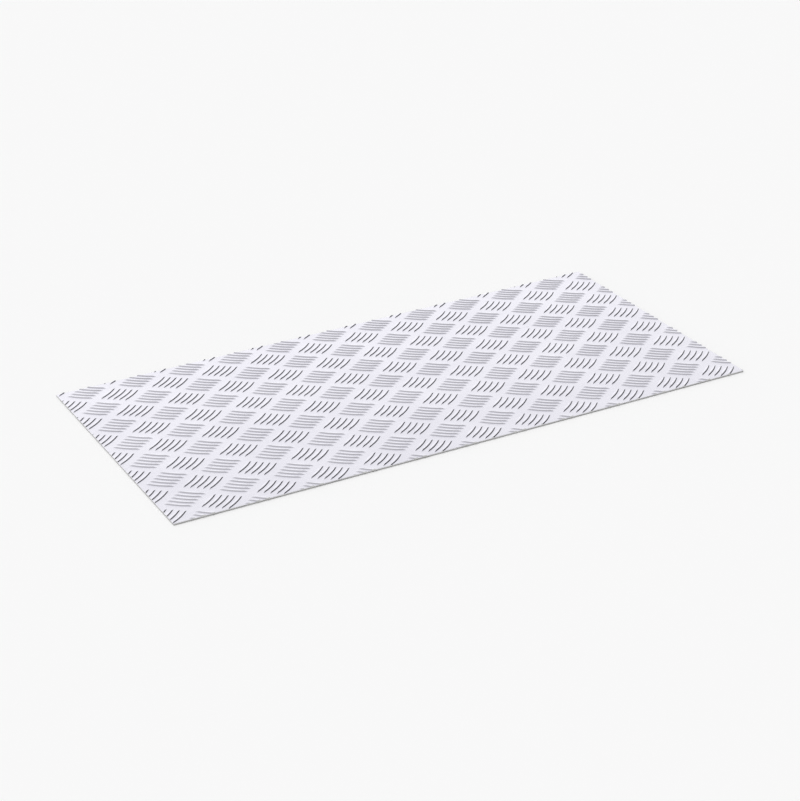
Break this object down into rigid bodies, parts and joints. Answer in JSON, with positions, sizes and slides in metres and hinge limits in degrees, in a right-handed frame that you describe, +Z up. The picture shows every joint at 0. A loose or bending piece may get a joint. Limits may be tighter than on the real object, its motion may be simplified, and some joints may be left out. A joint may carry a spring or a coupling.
{
  "type": "aluminium tread plate",
  "caption": "Flat sheared rectangle of rolled aluminium sheet with raised anti-slip bars in groups on its upper face and a smooth underside.",
  "frame": {"origin": "centre of the smooth underside, which is the face the plate rests on", "axes": "+X along the long side, +Y along the short side, +Z up through the thickness to the tread side"},
  "size_m": [1, 0.5, 0.0025],
  "materials": {
    "rolled_aluminium": "bright mill finish, rolled tread on the upper face, sheared edges"
  },
  "bodies": {
    "root": {"tread_plate": "rolled_aluminium"}
  },
  "joints": []
}
